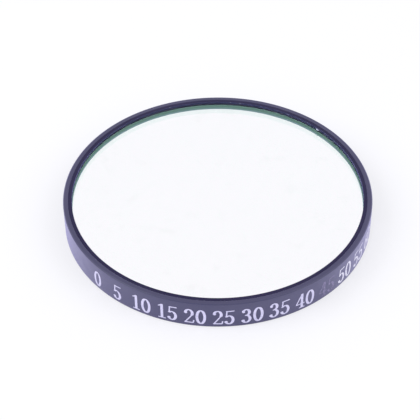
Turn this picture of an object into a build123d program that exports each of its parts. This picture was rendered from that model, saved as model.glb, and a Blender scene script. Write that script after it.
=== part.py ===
"""A round optical bandpass filter in its turned cell.

A thin black ring with a lip at the rear holds a cemented stack of four glass
plates. Epoxy fills the gap between the ground edges of the plates and the bore,
and a thin retaining ring lies on the front plate, flush with the end of the cell.

The origin is the centre of the rear face, +Z points out of the front, and all
sizes are in millimetres.
"""

import os

from build123d import *

# Cell: a ring turned from bar, with a lip that the stack rests on
cell_diameter = 50.8
cell_wall = 0.83
lip_reach = 0.63
lip_thickness = 0.5
outer_chamfer = 0.14
lip_chamfer = 0.12
bore_edge_break = 0.04

# Retaining ring: pressed into the bore on top of the front plate
retainer_width = 0.61
retainer_thickness = 0.35
retainer_press_gap = 0.01
retainer_edge_break = 0.04

# Glass plates, from the rear to the front
rear_glass_thickness = 1.0
blocking_glass_thickness = 1.0
bandpass_glass_thickness = 1.1
cover_glass_thickness = 0.9
plate_bevel = 0.12

# Cement between neighbouring plates, and epoxy between the stack and the bore
cement_thickness = 0.05
seal_thickness = 0.17

# Radii that follow, from the outside to the middle
cell_radius = cell_diameter / 2
bore_radius = cell_radius - cell_wall
lip_radius = bore_radius - lip_reach
stack_radius = bore_radius - seal_thickness
cement_radius = stack_radius - plate_bevel
retainer_outer_radius = bore_radius - retainer_press_gap
retainer_inner_radius = retainer_outer_radius - retainer_width

# The stack in order, each layer on the one before it
GLASS = "glass"
CEMENT = "cement"
stack = (
    ("rear_glass", GLASS, rear_glass_thickness),
    ("rear_cement", CEMENT, cement_thickness),
    ("blocking_glass", GLASS, blocking_glass_thickness),
    ("middle_cement", CEMENT, cement_thickness),
    ("bandpass_glass", GLASS, bandpass_glass_thickness),
    ("front_cement", CEMENT, cement_thickness),
    ("cover_glass", GLASS, cover_glass_thickness),
)
stack_height = sum(thickness for _, _, thickness in stack)
stack_top = lip_thickness + stack_height
cell_height = stack_top + retainer_thickness


def turned(outline):
    """A solid turned about the Z axis from a closed outline of (radius, height) points."""
    with BuildPart() as body:
        with BuildSketch(Plane.XZ):
            with BuildLine():
                Polyline(*outline, close=True)
            make_face()
        revolve(axis=Axis.Z)
    return body.part


def cell_ring():
    """The ring: chamfered outside, bored from the front down to the lip at the rear."""
    outline = (
        (lip_radius + lip_chamfer, 0),
        (cell_radius - outer_chamfer, 0),
        (cell_radius, outer_chamfer),
        (cell_radius, cell_height - outer_chamfer),
        (cell_radius - outer_chamfer, cell_height),
        (bore_radius + bore_edge_break, cell_height),
        (bore_radius, cell_height - bore_edge_break),
        (bore_radius, lip_thickness),
        (lip_radius, lip_thickness),
        (lip_radius, lip_chamfer),
    )
    return turned(outline)


def retaining_ring():
    """The flat ring on the front plate, with its two front edges broken."""
    front_edge = cell_height - retainer_edge_break
    outline = (
        (retainer_inner_radius, stack_top),
        (retainer_outer_radius, stack_top),
        (retainer_outer_radius, front_edge),
        (retainer_outer_radius - retainer_edge_break, cell_height),
        (retainer_inner_radius + retainer_edge_break, cell_height),
        (retainer_inner_radius, front_edge),
    )
    return turned(outline)


def glass_plate(floor, thickness):
    """A disc with a ground edge and a small bevel round both of its faces."""
    with BuildPart() as plate:
        with Locations((0, 0, floor)):
            Cylinder(stack_radius, thickness, align=(Align.CENTER, Align.CENTER, Align.MIN))
        faces = plate.faces().filter_by(GeomType.PLANE)
        chamfer(faces.edges(), plate_bevel)
    return plate.part


def cement_film(floor, thickness):
    """A film of cement that joins two plates and ends where their bevels begin."""
    with BuildPart() as film:
        with Locations((0, 0, floor)):
            Cylinder(cement_radius, thickness, align=(Align.CENTER, Align.CENTER, Align.MIN))
    return film.part


def glass_stack():
    """Every layer of the stack by name, laid one on the other from the lip up."""
    layers = {}
    floor = lip_thickness
    for name, kind, thickness in stack:
        build = glass_plate if kind == GLASS else cement_film
        layers[name] = build(floor, thickness)
        floor += thickness
    return layers


def edge_seal(layers):
    """The epoxy round the stack, which also fills the grooves that the bevels leave."""
    with BuildPart() as seal:
        with Locations((0, 0, lip_thickness)):
            Cylinder(bore_radius, stack_height, align=(Align.CENTER, Align.CENTER, Align.MIN))
            Cylinder(
                cement_radius,
                stack_height,
                align=(Align.CENTER, Align.CENTER, Align.MIN),
                mode=Mode.SUBTRACT,
            )
        for layer in layers.values():
            add(layer, mode=Mode.SUBTRACT)
    return seal.part


def main():
    """Build each piece and write it to a file of its own."""
    layers = glass_stack()
    pieces = {
        "cell_ring": cell_ring(),
        "retaining_ring": retaining_ring(),
        **layers,
        "edge_seal": edge_seal(layers),
    }
    os.makedirs("parts", exist_ok=True)
    for name, piece in pieces.items():
        export_step(piece, f"parts/{name}.step")
        print(f"{name}: {piece.volume:.2f} cubic millimetres")
    print(f"cell {cell_diameter:.2f} across and {cell_height:.2f} high")


main()
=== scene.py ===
"""Dresses the mounted bandpass filter: black anodised cell, coated glass stack and rim numerals.

Lengths are in millimetres where nothing else is said, and MM turns them into metres.
The frame gives the size and place of each piece, so the dressed pieces follow it.
"""

import logging
import math
from dataclasses import dataclass, field, replace
from enum import Enum
from typing import ClassVar

import bpy
import numpy as np
from mathutils import Matrix, Vector


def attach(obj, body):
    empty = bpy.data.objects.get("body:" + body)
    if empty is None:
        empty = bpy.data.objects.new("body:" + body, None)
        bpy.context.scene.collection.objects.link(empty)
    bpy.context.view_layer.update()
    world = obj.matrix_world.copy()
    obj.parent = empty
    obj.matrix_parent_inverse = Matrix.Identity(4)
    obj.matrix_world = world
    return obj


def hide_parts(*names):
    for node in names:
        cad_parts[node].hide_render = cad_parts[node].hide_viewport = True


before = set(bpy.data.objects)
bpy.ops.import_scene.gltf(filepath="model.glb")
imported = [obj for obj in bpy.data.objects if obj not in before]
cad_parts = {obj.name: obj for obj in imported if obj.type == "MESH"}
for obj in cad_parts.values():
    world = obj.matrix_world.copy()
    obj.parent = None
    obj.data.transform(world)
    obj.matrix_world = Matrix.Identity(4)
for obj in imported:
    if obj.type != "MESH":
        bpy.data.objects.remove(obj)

MM = 0.001
BODY = "root"
LOG = logging.getLogger("bandpass_filter")

RGB = tuple[float, float, float]
Point = tuple[float, float]

# The index of a cemented face of glass, which light passes almost without bending
CEMENTED = 1.01

# The height that a face may span and still count as level
LEVEL = 1e-7


class Slot(Enum):
    """The record's material slots."""

    CELL = "cell"
    RETAINER = "retainer"
    CLEAR_GLASS = "clear_glass"
    MIRROR_COATING = "mirror_coating"
    RED_GLASS = "red_glass"
    CEMENT = "cement"
    BLACK_EPOXY = "black_epoxy"


# Reading the frame


@dataclass(frozen=True)
class RoundSize:
    """Radii and heights of a piece turned about the optical axis, in millimetres."""

    inner: float
    outer: float
    floor: float
    top: float

    @classmethod
    def of(cls, node: str) -> "RoundSize":
        """Measures a CAD node from its vertices.

        Args:
            node: The node's name in the frame.

        Returns:
            Its smallest and largest radius and its lowest and highest point.
        """
        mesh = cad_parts[node].data
        flat = np.empty(len(mesh.vertices) * 3)
        mesh.vertices.foreach_get("co", flat)
        points = flat.reshape(-1, 3) / MM
        radius = np.hypot(points[:, 0], points[:, 1])
        return cls(radius.min(), radius.max(), points[:, 2].min(), points[:, 2].max())


# Node trees


class Tree:
    """A short way to write a material's or the world's nodes."""

    def __init__(self, owner: bpy.types.ID, output: str) -> None:
        """Empties the owner's tree and gives it one output node.

        Args:
            owner: A material or the world.
            output: The output node's type.
        """
        owner.use_nodes = True
        self.tree = owner.node_tree
        self.tree.nodes.clear()
        self.output = self.tree.nodes.new(output)

    def add(self, kind: str, settings: dict | None = None, **inputs: object) -> bpy.types.Node:
        """Adds a node.

        Args:
            kind: The node's type.
            settings: Properties to set, by name.
            **inputs: Values or sockets for its inputs. An underscore stands for a space.

        Returns:
            The new node.
        """
        node = self.tree.nodes.new(kind)
        for name, value in (settings or {}).items():
            setattr(node, name, value)
        for name, value in inputs.items():
            self.feed(node.inputs[name.replace("_", " ")], value)
        return node

    def feed(self, socket: bpy.types.NodeSocket, value: object) -> None:
        """Links a socket to the input, or sets the input to a plain value.

        Args:
            socket: The input.
            value: A socket, a number or a colour.
        """
        if isinstance(value, bpy.types.NodeSocket):
            self.tree.links.new(value, socket)
        elif isinstance(value, tuple) and len(value) == 3 and socket.type == "RGBA":
            socket.default_value = (*value, 1.0)
        else:
            socket.default_value = value

    def math(self, operation: str, *values: object) -> bpy.types.NodeSocket:
        """Adds a Math node.

        Args:
            operation: What it works out.
            *values: Up to three sockets or numbers.

        Returns:
            Its result.
        """
        node = self.add("ShaderNodeMath", {"operation": operation})
        for socket, value in zip(node.inputs, values):
            self.feed(socket, value)
        return node.outputs[0]

    def mix_colour(self, share: object, first: object, second: object) -> bpy.types.NodeSocket:
        """Blends two colours.

        Args:
            share: The share of the second, from 0 to 1.
            first: One colour.
            second: The other colour.

        Returns:
            The blend.
        """
        node = self.add("ShaderNodeMix", {"data_type": "RGBA"})
        for place, value in ((0, share), (6, first), (7, second)):
            self.feed(node.inputs[place], value)
        return node.outputs[2]

    def span(
        self, value: object, low: float, high: float, to_low: float, to_high: float
    ) -> bpy.types.NodeSocket:
        """Maps the range from low to high onto to_low to to_high, clamped.

        Args:
            value: The socket to map.
            low: Where the source range starts.
            high: Where the source range ends.
            to_low: What low becomes.
            to_high: What high becomes.

        Returns:
            The mapped socket.
        """
        node = self.add("ShaderNodeMapRange", {"clamp": True})
        for place, number in enumerate((value, low, high, to_low, to_high)):
            self.feed(node.inputs[place], number)
        return node.outputs[0]

    def place(self) -> bpy.types.NodeSocket:
        """The surface point in the object's own coordinates, in metres."""
        return self.add("ShaderNodeTexCoord").outputs["Object"]

    def radius_and_height(self) -> tuple[bpy.types.NodeSocket, bpy.types.NodeSocket]:
        """Where a surface point lies, in metres.

        Returns:
            Its distance from the optical axis, the root of x squared plus y squared, and
            its height.
        """
        split = self.add("ShaderNodeSeparateXYZ", Vector=self.place())
        x_squared = self.math("MULTIPLY", split.outputs[0], split.outputs[0])
        y_squared = self.math("MULTIPLY", split.outputs[1], split.outputs[1])
        radius = self.math("SQRT", self.math("ADD", x_squared, y_squared))
        return radius, split.outputs[2]

    def noise(self, vector: object, size: float, detail: float = 2.0) -> bpy.types.NodeSocket:
        """A noise pattern.

        Args:
            vector: Where to read it.
            size: The size of its waves, in millimetres.
            detail: Finer layers on top of the first.

        Returns:
            The noise, from 0 to 1.
        """
        node = self.add("ShaderNodeTexNoise", Vector=vector, Scale=1 / (size * MM), Detail=detail)
        return node.outputs["Fac"]

    def bump(self, height: object, strength: float, depth: float) -> bpy.types.NodeSocket:
        """A normal that is tilted as if the height stood out by the depth, in millimetres."""
        node = self.add("ShaderNodeBump", Strength=strength, Distance=depth * MM, Height=height)
        return node.outputs[0]

    def mix_shaders(self, share: object, first: object, second: object) -> bpy.types.NodeSocket:
        """Blends two shaders.

        Args:
            share: The share of the second, from 0 to 1.
            first: One shader.
            second: The other shader.

        Returns:
            The blend.
        """
        node = self.add("ShaderNodeMixShader")
        for socket, value in zip(node.inputs, (share, first, second)):
            self.feed(socket, value)
        return node.outputs[0]

    def finish(self, surface: bpy.types.NodeSocket) -> None:
        """Links the surface to the tree's output."""
        self.tree.links.new(surface, self.output.inputs["Surface"])

    def principled(self, **inputs: object) -> None:
        """Adds the main shader, with its inputs named as in add, and links it to the output."""
        self.finish(self.add("ShaderNodeBsdfPrincipled", **inputs).outputs[0])


def new_material(name: str) -> tuple[bpy.types.Material, Tree]:
    """A named material with an empty tree."""
    material = bpy.data.materials.new(name)
    return material, Tree(material, "ShaderNodeOutputMaterial")


# Finishes


@dataclass(frozen=True)
class AnodisedFinish:
    """Black anodised aluminium with fine turning lines, mottled gloss and rubbed edges with a
    painted highlight.

    Attributes:
        gloss: The least and the greatest roughness.
        gloss_range: The values of the mottling at which the roughness starts and stops rising.
        line_pitch: The width of a turning line, in millimetres.
        line_depth: Its depth, in millimetres.
        line_strength: How strongly the lines tilt the surface.
        mottle_size: The size of the patches of gloss and wear, in millimetres.
        cloud_size: The size of the faded areas, in millimetres.
        cloud_range: The values of the clouds at which the dye starts to fade and is faded.
        wear_range: The mottling values at which wear and painted edge highlight start and stop
            growing.
        least_wear: The share of the wear and painted edge highlight that shows everywhere.
    """

    name: str
    dye: RGB
    faded_dye: RGB
    # The rubbed colour is lighter than the dye: partly real wear, partly a painted edge
    # highlight.
    rubbed: RGB
    sheen: RGB = (0.63, 0.6, 0.97)
    sheen_weight: float = 0.6
    sheen_roughness: float = 0.4
    gloss: tuple[float, float] = (0.3, 0.42)
    gloss_range: tuple[float, float] = (0.3, 0.7)
    line_pitch: float = 0.045
    line_depth: float = 0.0012
    line_strength: float = 0.6
    mottle_size: float = 1.6
    cloud_size: float = 9.0
    cloud_range: tuple[float, float] = (0.35, 0.65)
    wear_range: tuple[float, float] = (0.42, 0.6)
    least_wear: float = 0.15
    specular: float = 0.5
    specular_tint: RGB = (1.0, 1.0, 1.0)

    def material(self) -> bpy.types.Material:
        """Builds the finish as a procedural material.

        Returns:
            The material.
        """
        material, tree = new_material(self.name)
        place = tree.place()
        radius, height = tree.radius_and_height()
        section = tree.add("ShaderNodeCombineXYZ", X=radius, Y=height, Z=0.0).outputs[0]
        lines = tree.noise(section, self.line_pitch, 1.0)
        mottle = tree.noise(place, self.mottle_size, 4.0)
        cloud = tree.noise(place, self.cloud_size)
        faded = tree.span(cloud, *self.cloud_range, 0.0, 1.0)
        dye = tree.mix_colour(faded, self.dye, self.faded_dye)
        # The corner attribute read here blends the edges towards the rubbed colour: partly real
        # wear, partly a painted edge highlight.
        wear = tree.add("ShaderNodeAttribute", {"attribute_name": "wear"}).outputs["Fac"]
        shown = tree.span(mottle, *self.wear_range, self.least_wear, 1.0)
        patchy_wear_and_highlight = tree.math("MULTIPLY", wear, shown)
        tree.principled(
            Base_Color=tree.mix_colour(patchy_wear_and_highlight, dye, self.rubbed),
            Roughness=tree.span(mottle, *self.gloss_range, *self.gloss),
            Specular_IOR_Level=self.specular,
            Specular_Tint=self.specular_tint,
            Sheen_Weight=self.sheen_weight,
            Sheen_Roughness=self.sheen_roughness,
            Sheen_Tint=self.sheen,
            Normal=tree.bump(lines, self.line_strength, self.line_depth),
        )
        return material


@dataclass(frozen=True)
class GlassFinish:
    """Polished glass with faint patches, such as smears on it or striae in it.

    Attributes:
        colour: The colour that a passage through the glass gives to light.
        patches: The same in its patches.
        patch_size: The size of the patches, in millimetres.
        patch_detail: How many finer layers the patches have.
        patch_range: The values of the noise at which the patches start and are full.
        index: The refractive index.
        film_thickness: The thickness of the thin film on it, in nanometres. 0 leaves it out.
        film_index: The film's refractive index.
    """

    name: str
    colour: RGB
    patches: RGB
    patch_size: float = 12.0
    patch_detail: float = 2.0
    patch_range: tuple[float, float] = (0.0, 1.0)
    index: float = 1.5
    film_thickness: float = 0.0
    film_index: float = 2.02

    def material(self) -> bpy.types.Material:
        """Builds the glass as a clear or tinted transmitting material.

        Returns:
            The material.
        """
        material, tree = new_material(self.name)
        noise = tree.noise(tree.place(), self.patch_size, self.patch_detail)
        share = tree.span(noise, *self.patch_range, 0.0, 1.0)
        tree.principled(
            Base_Color=tree.mix_colour(share, self.colour, self.patches),
            Roughness=0.0,
            IOR=self.index,
            Transmission_Weight=1.0,
            Thin_Film_Thickness=self.film_thickness,
            Thin_Film_IOR=self.film_index,
        )
        return material


@dataclass(frozen=True)
class GroundEdgeFinish:
    """The finely ground edge and margin of a plate, a dark grey with the epoxy behind it."""

    name: str = "ground glass edge"
    dark: RGB = (0.1, 0.085, 0.15)
    pale: RGB = (0.16, 0.14, 0.22)
    roughness: float = 0.75
    grain_size: float = 0.12
    grain_range: tuple[float, float] = (0.35, 0.7)

    def material(self) -> bpy.types.Material:
        """Builds the ground edge as a grainy dark surface.

        Returns:
            The material.
        """
        material, tree = new_material(self.name)
        grain = tree.noise(tree.place(), self.grain_size, 3.0)
        share = tree.span(grain, *self.grain_range, 0.0, 1.0)
        colour = tree.mix_colour(share, self.dark, self.pale)
        tree.principled(Base_Color=colour, Roughness=self.roughness)
        return material


@dataclass(frozen=True)
class MirrorCoatingFinish:
    """The interference coating, which reflects all but its narrow band."""

    name: str = "interference coating"
    reflected: RGB = (0.975, 0.957, 1.0)
    faint: RGB = (0.97, 0.952, 0.995)
    drift_size: float = 30.0

    def material(self) -> bpy.types.Material:
        """Builds the coating as a clean mirror with a barely uneven tint.

        Returns:
            The material.
        """
        material, tree = new_material(self.name)
        drift = tree.noise(tree.place(), self.drift_size, 1.0)
        colour = tree.mix_colour(drift, self.reflected, self.faint)
        tree.principled(Base_Color=colour, Metallic=1.0, Roughness=0.0)
        return material


@dataclass(frozen=True)
class CementFinish:
    """Clear cement of the same index as the glass, so that it hardly shows."""

    name: str = "optical cement"
    tone: RGB = (0.95, 0.94, 0.88)
    body: float = 0.012
    spot_size: float = 2.5
    spot_range: tuple[float, float] = (0.6, 0.8)

    def material(self) -> bpy.types.Material:
        """Builds the cement as a nearly invisible film with a few cloudy spots.

        Returns:
            The material.
        """
        material, tree = new_material(self.name)
        spots = tree.noise(tree.place(), self.spot_size)
        clear = tree.add("ShaderNodeBsdfTransparent", Color=(1.0, 1.0, 1.0)).outputs[0]
        haze = tree.add("ShaderNodeBsdfDiffuse", Color=self.tone).outputs[0]
        share = tree.span(spots, *self.spot_range, 0.0, self.body)
        tree.finish(tree.mix_shaders(share, clear, haze))
        return material


@dataclass(frozen=True)
class EpoxyFinish:
    """Cast black epoxy, smooth with a slight orange peel."""

    name: str = "black edge epoxy"
    colour: RGB = (0.01, 0.01, 0.013)
    glossy: RGB = (0.018, 0.018, 0.022)
    roughness: float = 0.35
    peel_size: float = 0.6
    peel_depth: float = 0.01
    peel_strength: float = 0.4

    def material(self) -> bpy.types.Material:
        """Builds the epoxy as a dark, softly glossy surface.

        Returns:
            The material.
        """
        material, tree = new_material(self.name)
        peel = tree.noise(tree.place(), self.peel_size)
        tree.principled(
            Base_Color=tree.mix_colour(peel, self.colour, self.glossy),
            Roughness=self.roughness,
            Normal=tree.bump(peel, self.peel_strength, self.peel_depth),
        )
        return material


@dataclass(frozen=True)
class InkFinish:
    """Printed ink with an uneven density.

    Attributes:
        full: Its colour where it is thick.
        thin: Its colour where the metal shows through.
        density: The values of the noise at which it starts to thin and is thinnest.
        patch_size: The size of its patches, in millimetres.
    """

    name: str
    full: RGB
    thin: RGB
    density: tuple[float, float] = (0.42, 0.68)
    patch_size: float = 0.35
    roughness: float = 0.6

    def material(self) -> bpy.types.Material:
        """Builds the ink as a matte surface, thinner in small patches.

        Returns:
            The material.
        """
        material, tree = new_material(self.name)
        patches = tree.noise(tree.place(), self.patch_size, 3.0)
        share = tree.span(patches, *self.density, 0.0, 1.0)
        colour = tree.mix_colour(share, self.full, self.thin)
        tree.principled(Base_Color=colour, Roughness=self.roughness)
        return material


@dataclass(frozen=True)
class BareMetalFinish:
    """Bare aluminium where the anodising has flaked, scuffed and partly stained."""

    name: str = "bare chipped metal"
    bright: RGB = (0.46, 0.51, 0.62)
    stained: RGB = (0.33, 0.37, 0.47)
    stain_size: float = 0.15
    stain_range: tuple[float, float] = (0.4, 0.7)
    gloss: tuple[float, float] = (0.35, 0.55)
    gloss_range: tuple[float, float] = (0.3, 0.7)
    grain_size: float = 0.02
    grain_depth: float = 0.002
    grain_strength: float = 0.5

    def material(self) -> bpy.types.Material:
        """Builds the metal as a rough mirror with uneven stains and a fine grain.

        Returns:
            The material.
        """
        material, tree = new_material(self.name)
        place = tree.place()
        stain = tree.noise(place, self.stain_size)
        share = tree.span(stain, *self.stain_range, 0.0, 1.0)
        grain = tree.noise(place, self.grain_size)
        tree.principled(
            Base_Color=tree.mix_colour(share, self.bright, self.stained),
            Metallic=1.0,
            Roughness=tree.span(stain, *self.gloss_range, *self.gloss),
            Normal=tree.bump(grain, self.grain_strength, self.grain_depth),
        )
        return material


# Turned surfaces


def around(radius: np.ndarray | float, angle: np.ndarray, height: np.ndarray) -> np.ndarray:
    """Points round the optical axis: (radius cos angle, radius sin angle, height)."""
    return np.stack([radius * np.cos(angle), radius * np.sin(angle), height], axis=-1)


def grid_faces(
    rows: int, columns: int, closed: bool = False, turned: bool = True
) -> tuple[np.ndarray, np.ndarray]:
    """Joins rows of points by faces of four.

    Args:
        rows: How many rows there are.
        columns: How many points a row has.
        closed: True if the last row joins the first.
        turned: True if the last point of a row joins its first.

    Returns:
        The faces' vertex numbers, and the row that each face leaves.
    """
    row = np.arange(rows if closed else rows - 1)
    column = np.arange(columns if turned else columns - 1)
    here, across = np.meshgrid(row, column, indexing="ij")
    beyond, nearer = (here + 1) % rows, (across + 1) % columns
    corners = ((here, across), (beyond, across), (beyond, nearer), (here, nearer))
    faces = np.stack([i * columns + j for i, j in corners], axis=-1)
    return faces.reshape(-1, 4), here.reshape(-1)


@dataclass(frozen=True)
class Corner:
    """A corner of a turned piece's section.

    Attributes:
        radius: Its distance from the optical axis, in millimetres.
        height: Its height above the rear face, in millimetres.
        rounding: How far from it its round starts, in millimetres.
        wear: How rubbed it is, from 0 to 1, which also sets its painted edge highlight.
        skin: The material number of the run that leaves it.
    """

    radius: float
    height: float
    rounding: float = 0.0
    wear: float = 0.0
    skin: int = 0


@dataclass
class Profile:
    """A section of a turned piece.

    Attributes:
        corners: The corners in order, with the material on the right of the way that they
            run. A closed section returns to the first one, and an open section starts and
            ends on the axis.
        closed: True for a ring, False for a disc.
        round_steps: The steps of each round.
        run_steps: The steps of each run between two corners.
    """

    corners: list[Corner]
    closed: bool = True
    round_steps: int = 6
    run_steps: int = 8

    def rows(self) -> tuple[np.ndarray, np.ndarray, np.ndarray]:
        """Works out the rows that the section is turned from.

        A round is the curve of second degree whose ends lie on the two edges and whose
        middle point is the corner. A run between two rounds is cut into equal steps.

        Returns:
            The (radius, height) of each row, its wear with painted edge highlight and the
            material of the run after it.
        """
        count = len(self.corners)
        points: list[np.ndarray] = []
        wear: list[np.ndarray] = []
        skin: list[np.ndarray] = []
        for i, corner in enumerate(self.corners):
            following = (i + 1) % count
            here = self._place(i)
            if corner.rounding == 0:
                points.append(here[None])
                wear.append(np.array([corner.wear]))
            else:
                start = here + self._towards(i, i - 1)
                end = here + self._towards(i, following)
                s = np.linspace(0, 1, self.round_steps + 1)[:, None]
                points.append((1 - s) ** 2 * start + 2 * s * (1 - s) * here + s**2 * end)
                # The wear peaks in the middle of a round, so the rubbed colour lies along the
                # edge as wear and as a painted highlight.
                wear.append(corner.wear * np.sin(np.pi * s[:, 0]) ** 0.5)
            skin.append(np.full(len(points[-1]), corner.skin))
            if self.closed or i < count - 1:
                run_start = points[-1][-1]
                run_end = self._place(following) + self._towards(following, i)
                s = np.linspace(0, 1, self.run_steps + 1)[1:-1, None]
                points.append(run_start + s * (run_end - run_start))
                wear.append(np.zeros(len(s)))
                skin.append(np.full(len(s), corner.skin))
        return np.concatenate(points), np.concatenate(wear), np.concatenate(skin)

    def _place(self, i: int) -> np.ndarray:
        """The radius and height of a corner."""
        return np.array([self.corners[i].radius, self.corners[i].height], dtype=float)

    def _towards(self, i: int, j: int) -> np.ndarray:
        """The step from corner i towards corner j, as far as where its round starts."""
        way = self._place(j) - self._place(i)
        return way / np.linalg.norm(way) * self.corners[i].rounding


@dataclass
class Turning:
    """Turns a profile about the optical axis into a mesh."""

    name: str
    profile: Profile
    segments: int = 720

    def mesh(self) -> bpy.types.Mesh:
        """Builds the surface.

        A point of the surface at row i and angle t is (radius_i cos t, radius_i sin t,
        height_i). A disc's first and last rows are single points on the axis, and faces
        of three join them to the rows beside them.

        Returns:
            The mesh, in metres, with an attribute for wear and painted edge highlight, and smooth
            curved faces.
        """
        rows, wear, skin = self.profile.rows()
        count = np.full(len(rows), self.segments)
        if self.profile.closed:
            quads, left_row = grid_faces(len(rows), self.segments, closed=True)
            faces = [quads]
            face_skin = skin[left_row]
        else:
            count[[0, -1]] = 1
            quads, left_row = grid_faces(len(rows) - 2, self.segments)
            faces = [quads + 1, *self._fans(count.sum() - 1)]
            fan_skin = np.repeat(skin[[0, -2]], self.segments)
            face_skin = np.concatenate([skin[left_row + 1], fan_skin])
        turn = np.linspace(0, 2 * np.pi, self.segments, endpoint=False)
        angle = np.concatenate([turn[:number] for number in count])
        radius, height = np.repeat(rows, count, axis=0).T
        points = around(radius, angle, height)
        return make_mesh(self.name, points, faces, np.repeat(wear, count), face_skin)

    def _fans(self, last: int) -> list[np.ndarray]:
        """Joins a disc's two middles, the first vertex and the last, to the rows beside them.

        Args:
            last: The number of the last vertex.

        Returns:
            The faces of three round the first vertex, and those round the last.
        """
        column = np.arange(self.segments)
        nearer = (column + 1) % self.segments
        row = last - self.segments
        middle = np.zeros_like(column)
        return [
            np.stack([middle, column + 1, nearer + 1], axis=-1),
            np.stack([column + row, middle + last, nearer + row], axis=-1),
        ]


def make_mesh(
    name: str,
    points: np.ndarray,
    faces: list[np.ndarray],
    wear: np.ndarray,
    skin: np.ndarray,
) -> bpy.types.Mesh:
    """Puts whole arrays into a mesh.

    Args:
        name: The mesh's name.
        points: Its vertices in millimetres.
        faces: Arrays of vertex numbers, each of faces with the same number of corners.
        wear: How rubbed each vertex is, which also sets its painted edge highlight.
        skin: The material number of each face.

    Returns:
        The mesh in metres. Level faces stay flat, so that a mirror is true, and the rest
        are shaded smooth.
    """
    mesh = bpy.data.meshes.new(name)
    lengths = np.concatenate([np.full(len(part), part.shape[1]) for part in faces])
    corners = np.concatenate([part.reshape(-1) for part in faces])
    starts = np.concatenate([[0], np.cumsum(lengths)[:-1]])
    mesh.vertices.add(len(points))
    mesh.vertices.foreach_set("co", (points * MM).reshape(-1))
    mesh.loops.add(len(corners))
    mesh.loops.foreach_set("vertex_index", corners)
    mesh.polygons.add(len(lengths))
    mesh.polygons.foreach_set("loop_start", starts)
    mesh.polygons.foreach_set("material_index", skin.astype(np.int32))
    mesh.update(calc_edges=True)
    heights = points[corners, 2]
    lowest = np.minimum.reduceat(heights, starts)
    highest = np.maximum.reduceat(heights, starts)
    mesh.polygons.foreach_set("use_smooth", highest - lowest > LEVEL)
    # The vertex attribute for wear and painted edge highlight.
    rubbed = mesh.attributes.new("wear", "FLOAT", "POINT")
    rubbed.data.foreach_set("value", wear)
    mesh.validate()
    return mesh


def add_piece(
    name: str, mesh: bpy.types.Mesh, materials: list[bpy.types.Material]
) -> bpy.types.Object:
    """Adds a mesh to the scene as a piece that rides on the body.

    Args:
        name: The piece's name.
        mesh: Its mesh, already in place.
        materials: Its materials in order.

    Returns:
        The new object.
    """
    piece = bpy.data.objects.new(name, mesh)
    bpy.context.scene.collection.objects.link(piece)
    for material in materials:
        mesh.materials.append(material)
    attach(piece, BODY)
    return piece


def turned_piece(
    name: str, profile: Profile, materials: list[bpy.types.Material], node: str
) -> bpy.types.Object:
    """Turns a section into a piece that stands for a CAD node.

    Args:
        name: The piece's name.
        profile: Its section.
        materials: Its materials in order.
        node: The CAD node that it replaces.

    Returns:
        The new object.
    """
    piece = add_piece(name, Turning(name, profile).mesh(), materials)
    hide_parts(node)
    return piece


# Cell and retaining ring


@dataclass(frozen=True)
class Chip:
    """A small flake of bare metal in the inner wall of the retaining ring.

    Attributes:
        angle: Where it lies, in degrees from +X.
        height: The height of its middle, in millimetres.
        half_width: Half its length along the wall, in millimetres.
        half_height: Half its height, in millimetres.
        relief: How far it stands out of the wall, in millimetres.
        raggedness: How uneven its outline is, as a share of its size.
    """

    angle: float
    height: float
    half_width: float
    half_height: float
    relief: float = 0.012
    raggedness: float = 0.22

    rings: ClassVar[int] = 9
    spokes: ClassVar[int] = 24
    last_latitude: ClassVar[float] = math.radians(88)

    def points(self, wall: RoundSize) -> np.ndarray:
        """Works out its surface, a flat ball with an uneven outline.

        A point has a latitude a and a longitude b. Its way along the wall is half the
        width times cos a cos b, its way up is half the height times cos a sin b, both
        times the outline 1 + raggedness sin(3 b + angle), and its way out of the wall is
        the relief times sin a. The latitudes stop just short of the two poles.

        Args:
            wall: The retaining ring's size.

        Returns:
            The points, ring by ring.
        """
        a, b = np.meshgrid(
            np.linspace(-self.last_latitude, self.last_latitude, self.rings),
            np.linspace(0, 2 * np.pi, self.spokes, endpoint=False),
            indexing="ij",
        )
        outline = 1 + self.raggedness * np.sin(3 * b + self.angle)
        along = self.half_width * np.cos(a) * np.cos(b) * outline
        up = self.half_height * np.cos(a) * np.sin(b) * outline
        radius = wall.inner - self.relief * np.sin(a)
        turn = math.radians(self.angle) + along / wall.inner
        return around(radius, turn, self.height + up).reshape(-1, 3)

    @classmethod
    def faces(cls) -> tuple[np.ndarray, np.ndarray]:
        """Joins the rings of one chip.

        Returns:
            The faces between the rings, and the small caps over its two poles.
        """
        quads, _ = grid_faces(cls.rings, cls.spokes)
        first_cap = np.arange(cls.spokes)
        last_cap = first_cap[::-1] + (cls.rings - 1) * cls.spokes
        return quads, np.stack([first_cap, last_cap])


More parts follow.
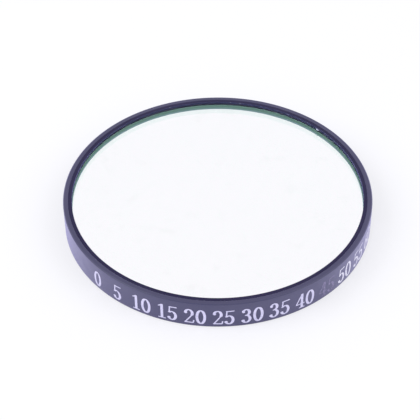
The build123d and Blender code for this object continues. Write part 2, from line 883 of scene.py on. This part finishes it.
@dataclass
class Cell:
    """The turned ring, the thin retaining ring in its mouth and the chips in that ring.

    Attributes:
        outer_chamfer: The chamfer of both ends of the rim, in millimetres.
        lip_chamfer: The chamfer of the lip's rear edge, in millimetres.
        edge_break: The break of the bore's and the retaining ring's edges, in millimetres.
        corner_round: The round on the outer edges, in millimetres.
        seat_round: The round on the edge of the seat, in millimetres.
        fine_round: The round on the bore's edges and the retaining ring's rear ones.
        front_round: The round on the retaining ring's front edges.
        rim_inset: How far the rim stands inside the solid's, to leave room for the ink.
        retainer_clearance: How far the retaining ring clears the cover glass.
    """

    LAND: ClassVar[int] = 1
    BORE: ClassVar[int] = 1

    outer_chamfer: float = 0.14
    lip_chamfer: float = 0.12
    edge_break: float = 0.04
    corner_round: float = 0.035
    seat_round: float = 0.02
    fine_round: float = 0.01
    front_round: float = 0.012
    rim_inset: float = 0.012
    retainer_clearance: float = 0.003
    size: RoundSize = field(default_factory=lambda: RoundSize.of("cell_ring"))
    retainer: RoundSize = field(default_factory=lambda: RoundSize.of("retaining_ring"))
    seal: RoundSize = field(default_factory=lambda: RoundSize.of("edge_seal"))
    finish: AnodisedFinish = AnodisedFinish(
        name="cell, black anodised",
        dye=(0.03, 0.029, 0.088),
        faded_dye=(0.041, 0.039, 0.102),
        rubbed=(0.16, 0.15, 0.23),
        sheen_weight=1.0,
        sheen_roughness=0.45,
    )
    land_finish: AnodisedFinish = AnodisedFinish(
        name="cell end face, black anodised",
        dye=(0.038, 0.036, 0.096),
        faded_dye=(0.045, 0.041, 0.106),
        rubbed=(0.14, 0.13, 0.2),
        sheen_weight=0.35,
    )
    retainer_finish: AnodisedFinish = AnodisedFinish(
        name="retaining ring, black anodised",
        dye=(0.006, 0.003, 0.042),
        faded_dye=(0.011, 0.007, 0.05),
        rubbed=(0.09, 0.085, 0.14),
        sheen_weight=0.0,
        gloss=(0.34, 0.46),
        specular=0.26,
    )
    bore_finish: AnodisedFinish = AnodisedFinish(
        name="retaining ring bore, black anodised",
        dye=(0.024, 0.024, 0.078),
        faded_dye=(0.032, 0.032, 0.092),
        rubbed=(0.05, 0.048, 0.11),
        sheen=(0.42, 0.42, 1.0),
        sheen_weight=1.0,
        gloss=(0.52, 0.6),
        line_depth=0.0002,
        specular=0.7,
        specular_tint=(0.64, 0.66, 1.0),
    )
    chip_finish: BareMetalFinish = BareMetalFinish()
    edge_chips: tuple[Chip, ...] = (
        Chip(angle=43.4, height=4.775, half_width=0.38, half_height=0.1, relief=0.24),
        Chip(angle=110.5, height=4.93, half_width=0.11, half_height=0.05),
        Chip(angle=84.4, height=4.95, half_width=0.1, half_height=0.04),
        Chip(angle=80.3, height=4.94, half_width=0.12, half_height=0.045),
    )

    @property
    def rim_radius(self) -> float:
        """The rim's radius, with room left for the ink that stands on it."""
        return self.size.outer - self.rim_inset

    def ring(self) -> bpy.types.Object:
        """Builds the cell ring from its section, from the lip round the outside.

        Returns:
            The ring.
        """
        inner, floor, top = self.size.inner, self.size.floor, self.size.top
        rim = self.rim_radius
        bore, seat = self.seal.outer, self.seal.floor
        cut, edge = self.outer_chamfer, self.edge_break
        soft, fine = self.corner_round, self.fine_round
        # The corners' wear numbers give rubbed edges, which are partly a painted edge highlight.
        corners = [
            Corner(inner, floor + self.lip_chamfer, soft, wear=0.2),
            Corner(inner, seat, self.seat_round, wear=0.1),
            Corner(bore, seat),
            Corner(bore, top - edge, fine, wear=0.1),
            Corner(bore + edge, top, fine, wear=0.1, skin=self.LAND),
            Corner(rim - cut, top, soft, wear=0.12),
            Corner(rim, top - cut, soft, wear=0.12),
            Corner(rim, floor + cut, soft, wear=0.1),
            Corner(rim - cut, floor, soft, wear=0.15),
            Corner(inner + self.lip_chamfer, floor, soft, wear=0.2),
        ]
        finishes = [self.finish.material(), self.land_finish.material()]
        return turned_piece("turned_cell_ring", Profile(corners), finishes, "cell_ring")

    def retaining_ring(self) -> bpy.types.Object:
        """Builds the flat retaining ring with its two broken edges.

        Returns:
            The ring.
        """
        inner, outer, top = self.retainer.inner, self.retainer.outer, self.retainer.top
        floor = self.retainer.floor + self.retainer_clearance
        edge, fine, soft = self.edge_break, self.fine_round, self.front_round
        # The corners' wear numbers give rubbed edges, which are partly a painted edge highlight.
        corners = [
            Corner(outer, floor, fine),
            Corner(inner, floor, fine, skin=self.BORE),
            Corner(inner, top - edge, soft, wear=0.2, skin=self.BORE),
            Corner(inner + edge, top, soft, wear=0.2),
            Corner(outer - edge, top, soft, wear=0.1),
            Corner(outer, top - edge, soft, wear=0.1),
        ]
        finishes = [self.retainer_finish.material(), self.bore_finish.material()]
        name = "flat_retaining_ring"
        return turned_piece(name, Profile(corners), finishes, "retaining_ring")

    def chips(self) -> bpy.types.Object:
        """Builds the chips on the inside of the retaining ring.

        Returns:
            All of them as one piece.
        """
        ball = [chip.points(self.retainer) for chip in self.edge_chips]
        first = [i * len(ball[0]) for i in range(len(ball))]
        faces = [np.concatenate([part + step for step in first]) for part in Chip.faces()]
        whole = np.concatenate(ball)
        skin = np.zeros(sum(len(part) for part in faces))
        mesh = make_mesh("edge_chips", whole, faces, np.zeros(len(whole)), skin)
        return add_piece("edge_chips", mesh, [self.chip_finish.material()])


# Glass stack


@dataclass
class GlassStack:
    """The four plates, the cement between them and the epoxy round them.

    Attributes:
        bevel: The bevel of a plate's edges, in millimetres.
        bevel_round: The round on the bevel's edges, in millimetres.
        film_gap: How far neighbouring layers stand apart, in millimetres.
        covered_margin: The width of the front that the retaining ring covers.
    """

    EDGE: ClassVar[int] = 1
    BACK: ClassVar[int] = 2

    bevel: float = 0.12
    bevel_round: float = 0.02
    film_gap: float = 0.008
    covered_margin: float = 0.42
    cover_finish: GlassFinish = GlassFinish(
        name="cover glass, coated front",
        colour=(1.0, 1.0, 1.0),
        patches=(0.997, 0.998, 0.998),
        patch_size=7.0,
        patch_detail=3.0,
        patch_range=(0.5, 0.8),
        film_thickness=203.0,
    )
    edge_finish: GroundEdgeFinish = GroundEdgeFinish()
    coating: MirrorCoatingFinish = MirrorCoatingFinish()
    cement: CementFinish = CementFinish()
    epoxy: EpoxyFinish = EpoxyFinish()
    blocking_finish: GlassFinish = GlassFinish(
        name="deep red blocking glass",
        colour=(0.6, 0.002, 0.004),
        patches=(0.5, 0.001, 0.002),
        index=CEMENTED,
    )
    rear_finish: GlassFinish = GlassFinish(
        name="rear glass, polished back",
        colour=(0.97, 1.0, 0.99),
        patches=(0.95, 0.99, 0.98),
    )

    def plate(
        self,
        node: str,
        front: bpy.types.Material,
        edge: bpy.types.Material,
        back: bpy.types.Material,
    ) -> bpy.types.Object:
        """Builds one plate: polished faces, and a ground edge with two bevels.

        The margin of the front that the retaining ring covers is ground as the edge is.

        Args:
            node: The CAD node that it stands for.
            front: The material of the front face.
            edge: The material of the margin, edge and bevels.
            back: The material of the back face.

        Returns:
            The plate.
        """
        size = RoundSize.of(node)
        floor = size.floor + self.film_gap
        outer, top, bevel, soft = size.outer, size.top, self.bevel, self.bevel_round
        corners = [
            Corner(0, top),
            Corner(outer - self.covered_margin, top, skin=self.EDGE),
            Corner(outer - bevel, top, soft, skin=self.EDGE),
            Corner(outer, top - bevel, soft, skin=self.EDGE),
            Corner(outer, floor + bevel, soft, skin=self.EDGE),
            Corner(outer - bevel, floor, soft, skin=self.BACK),
            Corner(0, floor, skin=self.BACK),
        ]
        profile = Profile(corners, closed=False)
        return turned_piece(f"polished_{node}", profile, [front, edge, back], node)

    def film(self, node: str, material: bpy.types.Material) -> bpy.types.Object:
        """Builds one cement film, clear of the plates by the film gap.

        Args:
            node: The CAD node that it stands for.
            material: Its material.

        Returns:
            The film.
        """
        size = RoundSize.of(node)
        top = size.top - self.film_gap
        floor = size.floor + 2 * self.film_gap
        outline = ((0, top), (size.outer, top), (size.outer, floor), (0, floor))
        profile = Profile([Corner(*place) for place in outline], closed=False, run_steps=4)
        return turned_piece(f"clear_{node}", profile, [material], node)

    def edge_seal(self) -> bpy.types.Object:
        """Gives the epoxy round the stack its finish. Its CAD shape stays.

        Returns:
            The epoxy.
        """
        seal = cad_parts["edge_seal"]
        seal.data.materials.clear()
        seal.data.materials.append(self.epoxy.material())
        return seal

    def build(self) -> list[bpy.types.Object]:
        """Builds the plates from the front to the rear, then the cement and the epoxy.

        Returns:
            The pieces of the stack.
        """
        edge = self.edge_finish.material()
        cement = self.cement.material()
        coating = self.coating.material()
        blocking = self.blocking_finish.material()
        cover, rear = self.cover_finish, self.rear_finish
        cover_back = replace(
            cover, name="cover glass, cemented back", index=CEMENTED, film_thickness=0.0
        )
        rear_front = replace(rear, name="rear glass, cemented front", index=CEMENTED)
        plates = (
            ("cover_glass", cover.material(), cover_back.material(), Slot.CLEAR_GLASS),
            ("bandpass_glass", coating, coating, Slot.MIRROR_COATING),
            ("blocking_glass", blocking, blocking, Slot.RED_GLASS),
            ("rear_glass", rear_front.material(), rear.material(), Slot.CLEAR_GLASS),
        )
        pieces = [self.plate(node, face, edge, back) for node, face, back, slot in plates]
        for node in ("front_cement", "middle_cement", "rear_cement"):
            pieces.append(self.film(node, cement))
        pieces.append(self.edge_seal())
        return pieces


# Rim numerals


class Brush(Enum):
    """Broad brushes as (half width, half height), in units of the numeral height."""

    FULL = (0.082, 0.034)
    FINE = (0.04, 0.03)
    BALL = (0.088, 0.07)


@dataclass(frozen=True)
class Stroke:
    """One pull of a broad brush along a path in numeral units."""

    path: np.ndarray
    brush: Brush = Brush.FULL


def arc(centre: Point, half: Point, start: float, end: float, count: int = 90) -> Stroke:
    """Part of an ellipse: centre plus half times (cos, sin) of an angle from start to end.

    Args:
        centre: The ellipse's centre.
        half: Its half width and half height.
        start: The first angle, in degrees.
        end: The last angle, in degrees.
        count: How many points it has.

    Returns:
        The stroke along the arc.
    """
    angle = np.radians(np.linspace(start, end, count))
    across, up = half[0] * np.cos(angle), half[1] * np.sin(angle)
    return Stroke(np.stack([centre[0] + across, centre[1] + up], axis=-1))


def line(start: Point, end: Point, brush: Brush = Brush.FULL, count: int = 50) -> Stroke:
    """A straight stroke through evenly spaced points from start to end."""
    s = np.linspace(0, 1, count)[:, None]
    return Stroke((1 - s) * np.array(start) + s * np.array(end), brush)


def ball(centre: Point) -> Stroke:
    """A round end, as one touch of the brush."""
    return Stroke(np.array([centre]), Brush.BALL)


@dataclass
class Numerals:
    """Plain upright numerals with thick stems, thin hairlines and small serifs.

    Attributes:
        width: A numeral's width over its height.
        advance: The step from one numeral to the next, over the height.
        foot: The height of a serif's middle, over the height.
        cells_high: How many cells of the grid a numeral is cut from stand on each other.
        margin: How far the grid goes beyond the numeral, over the height.
        slides: How many times the border slides towards the edge of the ink.
        probe: The step over which the slope is measured.
    """

    width: float = 0.62
    advance: float = 0.657
    foot: float = 0.034
    cells_high: int = 52
    margin: float = 0.04
    slides: int = 3
    probe: float = 1e-4

    def strokes(self, numeral: str) -> list[Stroke]:
        """Draws one of the dial's numerals, in a box one high.

        Args:
            numeral: Which numeral.

        Returns:
            Its strokes.
        """
        foot, head, fine = self.foot, 1 - self.foot, Brush.FINE
        drawn = {
            "0": [arc((0.31, 0.5), (0.22, 0.466), 0, 360)],
            "1": [
                line((0.34, foot), (0.34, head)),
                line((0.34, 0.96), (0.15, 0.85), fine),
                line((0.15, foot), (0.53, foot), fine),
            ],
            "2": [
                arc((0.29, 0.71), (0.2, 0.256), 168, -28),
                line((0.467, 0.59), (0.1, 0.09), fine),
                line((0.1, 0.06), (0.5, 0.06)),
                line((0.53, 0.06), (0.57, 0.22), fine),
                ball((0.12, 0.75)),
            ],
            "3": [
                arc((0.27, 0.755), (0.18, 0.211), 158, -90),
                arc((0.27, 0.29), (0.22, 0.256), 90, -155),
                ball((0.12, 0.8)),
                ball((0.11, 0.18)),
            ],
            "4": [
                line((0.4, 0.95), (0.06, 0.33), fine),
                line((0.06, 0.3), (0.58, 0.3), fine),
                line((0.42, foot), (0.42, head)),
                line((0.27, foot), (0.57, foot), fine),
            ],
            "5": [
                line((0.17, 0.93), (0.5, 0.95)),
                line((0.15, 0.94), (0.12, 0.55), fine),
                arc((0.27, 0.325), (0.22, 0.29), 130, -152),
                ball((0.11, 0.18)),
            ],
            "6": [
                arc((0.315, 0.31), (0.205, 0.272), 0, 360),
                arc((0.6, 0.33), (0.49, 0.62), 178, 97),
            ],
        }
        return drawn[numeral]

    def depth(self, numeral: str, points: np.ndarray) -> np.ndarray:
        """How far each point lies outside the ink.

        With the brush at b and half sizes (p, q), a point (u, v) scores the length of
        ((u - b_u) / p, (v - b_v) / q), less one. The least over the path counts.

        Args:
            numeral: Which numeral.
            points: Points in numeral units.

        Returns:
            The score of each point, below 0 in the ink.
        """
        least = np.full(len(points), np.inf)
        for stroke in self.strokes(numeral):
            away = (points[:, None] - stroke.path[None]) / np.array(stroke.brush.value)
            least = np.minimum(least, np.linalg.norm(away, axis=-1).min(axis=1) - 1)
        return least

    def patch(self, numeral: str) -> tuple[np.ndarray, np.ndarray]:
        """Cuts one numeral out of a fine grid.

        A cell stays if its middle is in the ink. A vertex on the border of what stays
        slides along the score's slope until the score is 0.

        Args:
            numeral: Which numeral.

        Returns:
            Points in numeral units, and faces of four.
        """
        margin, step = self.margin, self.probe
        cells_wide = round(self.cells_high * (self.width + 2 * margin) / (1 + 2 * margin))
        u = np.linspace(-margin, self.width + margin, cells_wide + 1)
        v = np.linspace(-margin, 1 + margin, self.cells_high + 1)
        across, up = np.meshgrid(u, v, indexing="ij")
        points = np.stack([across, up], axis=-1).reshape(-1, 2)
        faces, _ = grid_faces(cells_wide + 1, self.cells_high + 1, turned=False)
        inked = self.depth(numeral, points[faces].mean(axis=1)) < 0
        uses_in = np.bincount(faces[inked].reshape(-1), minlength=len(points))
        uses_out = np.bincount(faces[~inked].reshape(-1), minlength=len(points))
        border = np.flatnonzero((uses_in > 0) & (uses_out > 0))
        for _ in range(self.slides):
            at = points[border]
            score = self.depth(numeral, at)
            slope_u = (self.depth(numeral, at + [step, 0]) - score) / step
            slope_v = (self.depth(numeral, at + [0, step]) - score) / step
            slope = np.stack([slope_u, slope_v], axis=-1)
            length = np.maximum((slope**2).sum(axis=1), 1.0)
            points[border] = at - slope * (score / length)[:, None]
        kept = np.flatnonzero(uses_in > 0)
        number = np.full(len(points), -1)
        number[kept] = np.arange(len(kept))
        return points[kept], number[faces[inked]]


@dataclass
class RimPrint:
    """A dial printed round the rim, to read the filter's turn in its holder.

    The numbers stand every fifth division of two degrees, from 0 to 65; the divisions have no
    marks.

    Attributes:
        rim: The radius of the rim that the ink lies on, in millimetres.
        thickness: The thickness of the ink, in millimetres.
        height: The height of a numeral, in millimetres.
        base: The height of its foot above the rear face, in millimetres.
        zero_angle: Where the zero stands, in degrees from +X.
        division: The degrees of one division.
        step: The divisions from one number to the next.
        slimness: A numeral's width, as a share of its drawn width.
    """

    rim: float
    thickness: float = 0.011
    height: float = 3.05
    base: float = 0.6
    zero_angle: float = 222.0
    division: float = 2.0
    step: int = 5
    slimness: float = 0.9
    numerals: Numerals = field(default_factory=Numerals)
    ink: InkFinish = InkFinish("printed ink", (0.74, 0.71, 0.92), (0.62, 0.6, 0.82))
    # The last run's ink is whiter than the rest as a painted sheen on that end of the rim.
    white_ink: InkFinish = InkFinish("ink with painted sheen", (0.84, 0.83, 0.95), (0.74, 0.72, 0.86))
    rubbed_ink: InkFinish = InkFinish(
        "rubbed ink", (0.27, 0.24, 0.4), (0.16, 0.145, 0.26), (0.4, 0.65)
    )

    def scale(self, name: str, first: int, last: int, ink: InkFinish) -> bpy.types.Object:
        """Prints part of the dial as one piece.

        A number's middle stands at its own division from the zero. The ink's outer face
        has the rim's radius plus the thickness. A point (u, v) of a numeral, with u from
        the number's middle, goes there to the angle of the number plus
        u slimness height / radius and to the height base + v height.

        Args:
            name: The piece's name.
            first: The first number.
            last: The last number.
            ink: Its finish.

        Returns:
            The numbers as one piece.
        """
        points: list[np.ndarray] = []
        faces: list[np.ndarray] = []
        used = 0
        radius = self.rim + self.thickness
        for number in range(first, last + 1, self.step):
            digits = str(number)
            advance = self.numerals.advance
            offset = -((len(digits) - 1) * advance + self.numerals.width) / 2
            for digit in digits:
                flat, quads = self.numerals.patch(digit)
                across = (offset + flat[:, 0]) * self.slimness * self.height / radius
                angle = math.radians(self.zero_angle + number * self.division) + across
                points.append(around(radius, angle, self.base + flat[:, 1] * self.height))
                faces.append(quads + used)
                used += len(flat)
                offset += advance
        whole = np.concatenate(points)
        quads = np.concatenate(faces)
        mesh = make_mesh(name, whole, [quads], np.zeros(len(whole)), np.zeros(len(quads)))
        piece = add_piece(name, mesh, [ink.material()])
        shell = piece.modifiers.new("ink thickness", "SOLIDIFY")
        shell.thickness = self.thickness * MM
        shell.offset = -1.0
        return piece

    def build(self) -> list[bpy.types.Object]:
        """Prints the dial.

        Returns:
            The first run, one number rubbed nearly away, and the last run, whose whiter ink is a
            painted sheen.
        """
        return [
            self.scale("rim_dial_to_40", 0, 40, self.ink),
            self.scale("rim_dial_rubbed_45", 45, 45, self.rubbed_ink),
            # These numbers take the whiter ink, a painted sheen.
            self.scale("rim_dial_from_50", 50, 65, self.white_ink),
        ]


# Camera, light and floor


@dataclass(frozen=True)
class PhotoCamera:
    """The camera fitted to the photo's ellipses.

    Attributes:
        elevation: The angle above the floor, in degrees.
        distance: The distance from the centre of the rear face, in millimetres.
        lens: The focal length for the sensor width below, in millimetres.
        clip: The nearest and the farthest distance that it sees, in millimetres.
        yaw: A small turn about the camera's up axis, in degrees.
        pitch: A small turn about its right axis, in degrees.
        roll: A small turn about its line of sight, in degrees.
    """

    elevation: float = 42.903
    distance: float = 229.24
    lens: float = 117.651
    sensor: float = 36.0
    clip: tuple[float, float] = (1.0, 10000.0)
    yaw: float = -0.3209
    pitch: float = 0.1909
    roll: float = 0.2275

    def build(self) -> bpy.types.Object:
        """Adds the camera, looking along +Y and down.

        Each small turn mixes two of the camera's axes by the turn's cosine and sine.

        Returns:
            The camera.
        """
        e = math.radians(self.elevation)
        ahead = Vector((0, math.cos(e), -math.sin(e)))
        right = Vector((1, 0, 0))
        up = right.cross(ahead)
        place = ahead * -self.distance * MM
        c, s = self._turn(self.yaw)
        right, ahead = c * right - s * ahead, s * right + c * ahead
        c, s = self._turn(self.pitch)
        up, ahead = c * up - s * ahead, s * up + c * ahead
        c, s = self._turn(self.roll)
        right, up = c * right - s * up, s * right + c * up
        data = bpy.data.cameras.new("photo_camera")
        data.lens = self.lens
        data.sensor_width = self.sensor
        data.clip_start, data.clip_end = (distance * MM for distance in self.clip)
        camera = bpy.data.objects.new("photo_camera", data)
        axes = Matrix((right, up, -ahead)).transposed()
        camera.matrix_world = Matrix.Translation(place) @ axes.to_4x4()
        bpy.context.scene.collection.objects.link(camera)
        bpy.context.scene.camera = camera
        return camera

    @staticmethod
    def _turn(degrees: float) -> tuple[float, float]:
        """The cosine and sine of an angle in degrees."""
        return math.cos(math.radians(degrees)), math.sin(math.radians(degrees))


@dataclass(frozen=True)
class Softbox:
    """A square soft lamp that faces the object.

    Attributes:
        name: Its name.
        place: Where it stands, in millimetres.
        power: Its power, in watts.
        size: Its side, in millimetres.
    """

    name: str
    place: tuple[float, float, float]
    power: float
    size: float = 600.0

    def build(self) -> None:
        """Adds the lamp."""
        data = bpy.data.lights.new(self.name, "AREA")
        data.size = self.size * MM
        data.energy = self.power
        lamp = bpy.data.objects.new(self.name, data)
        spot = Vector(self.place) * MM
        turn = (-spot).to_track_quat("-Z", "Y").to_matrix().to_4x4()
        lamp.matrix_world = Matrix.Translation(spot) @ turn
        bpy.context.scene.collection.objects.link(lamp)


@dataclass
class Studio:
    """A pale floor, an even white surround and two soft lamps.

    Attributes:
        floor_size: The floor's side, in millimetres.
        floor_clearance: How far it lies below the object, in millimetres.
        surround: The white of the world where it is seen.
        fill: The strength of the world's light on matte surfaces.
        seen_white: The share of plain white in the floor near the object.
        shadow_reach: How far from the axis that share holds, in millimetres.
        white_reach: Where the floor is plain white, in millimetres from the axis.
    """

    floor_size: float = 6000.0
    floor_clearance: float = 0.02
    floor_colour: RGB = (0.945, 0.945, 0.99)
    surround: RGB = (1.0, 1.0, 1.0)
    fill: float = 0.85
    fill_colour: RGB = (0.93, 0.93, 1.0)
    seen_white: float = 0.6
    shadow_reach: float = 60.0
    white_reach: float = 300.0
    lamps: tuple[Softbox, ...] = (
        Softbox("key_softbox", (-600.0, -150.0, 560.0), power=2.2),
        Softbox("second_softbox", (600.0, -170.0, 560.0), power=1.2),
    )

    def world(self) -> None:
        """White where it is seen, in reflections too, and plain fill light elsewhere."""
        world = bpy.context.scene.world or bpy.data.worlds.new("surround")
        bpy.context.scene.world = world
        tree = Tree(world, "ShaderNodeOutputWorld")
        light = tree.add("ShaderNodeBackground", Color=self.fill_colour, Strength=self.fill)
        white = tree.add("ShaderNodeBackground", Color=self.surround, Strength=1.0)
        tree.finish(tree.mix_shaders(self._seen(tree), light.outputs[0], white.outputs[0]))

    @staticmethod
    def _seen(tree: Tree) -> bpy.types.NodeSocket:
        """Tells rays from the camera, from a reflection or through glass from the rest.

        Args:
            tree: The node tree that needs it.

        Returns:
            1 for such rays and 0 for the rest.
        """
        path = tree.add("ShaderNodeLightPath")
        direct = path.outputs["Is Camera Ray"]
        mirrored = path.outputs["Is Glossy Ray"]
        through = path.outputs["Is Transmission Ray"]
        return tree.math("MAXIMUM", tree.math("MAXIMUM", direct, mirrored), through)

    def floor(self) -> bpy.types.Object:
        """A matte floor that shows as white, less the object's shadow.

        The share of plain white is seen_white as far out as the shadow reaches, and rises
        to the whole from there on, so that the floor has no grey line at the horizon.

        Returns:
            The floor.
        """
        half = self.floor_size / 2
        level = -self.floor_clearance
        x = np.array([-half, half, half, -half])
        y = np.array([-half, -half, half, half])
        corners = np.stack([x, y, np.full(4, level)], axis=-1)
        mesh = make_mesh("floor", corners, [np.array([[0, 1, 2, 3]])], np.zeros(4), np.zeros(1))
        material, tree = new_material("pale floor")
        matte = tree.add("ShaderNodeBsdfDiffuse", Color=self.floor_colour)
        white = tree.add("ShaderNodeEmission", Color=(1.0, 1.0, 1.0), Strength=1.0)
        radius, _ = tree.radius_and_height()
        near, far = self.shadow_reach * MM, self.white_reach * MM
        plain = tree.span(radius, near, far, self.seen_white, 1.0)
        share = tree.math("MULTIPLY", self._seen(tree), plain)
        tree.finish(tree.mix_shaders(share, matte.outputs[0], white.outputs[0]))
        floor = bpy.data.objects.new("floor", mesh)
        bpy.context.scene.collection.objects.link(floor)
        mesh.materials.append(material)
        return floor

    def build(self) -> None:
        """Sets up the surround, the floor and the lamps."""
        bpy.context.scene.view_settings.view_transform = "Standard"
        self.world()
        self.floor()
        for lamp in self.lamps:
            lamp.build()


def main() -> None:
    """Builds the scene."""
    logging.basicConfig(level=logging.INFO, format="%(name)s: %(message)s")
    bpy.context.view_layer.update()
    PhotoCamera().build()
    Studio().build()
    cell = Cell()
    pieces = [cell.ring(), cell.retaining_ring(), cell.chips()]
    pieces += GlassStack().build()
    pieces += RimPrint(cell.rim_radius).build()
    for piece in pieces:
        LOG.info("%s: %d faces", piece.name, len(piece.data.polygons))


if __name__ == "__main__":
    main()
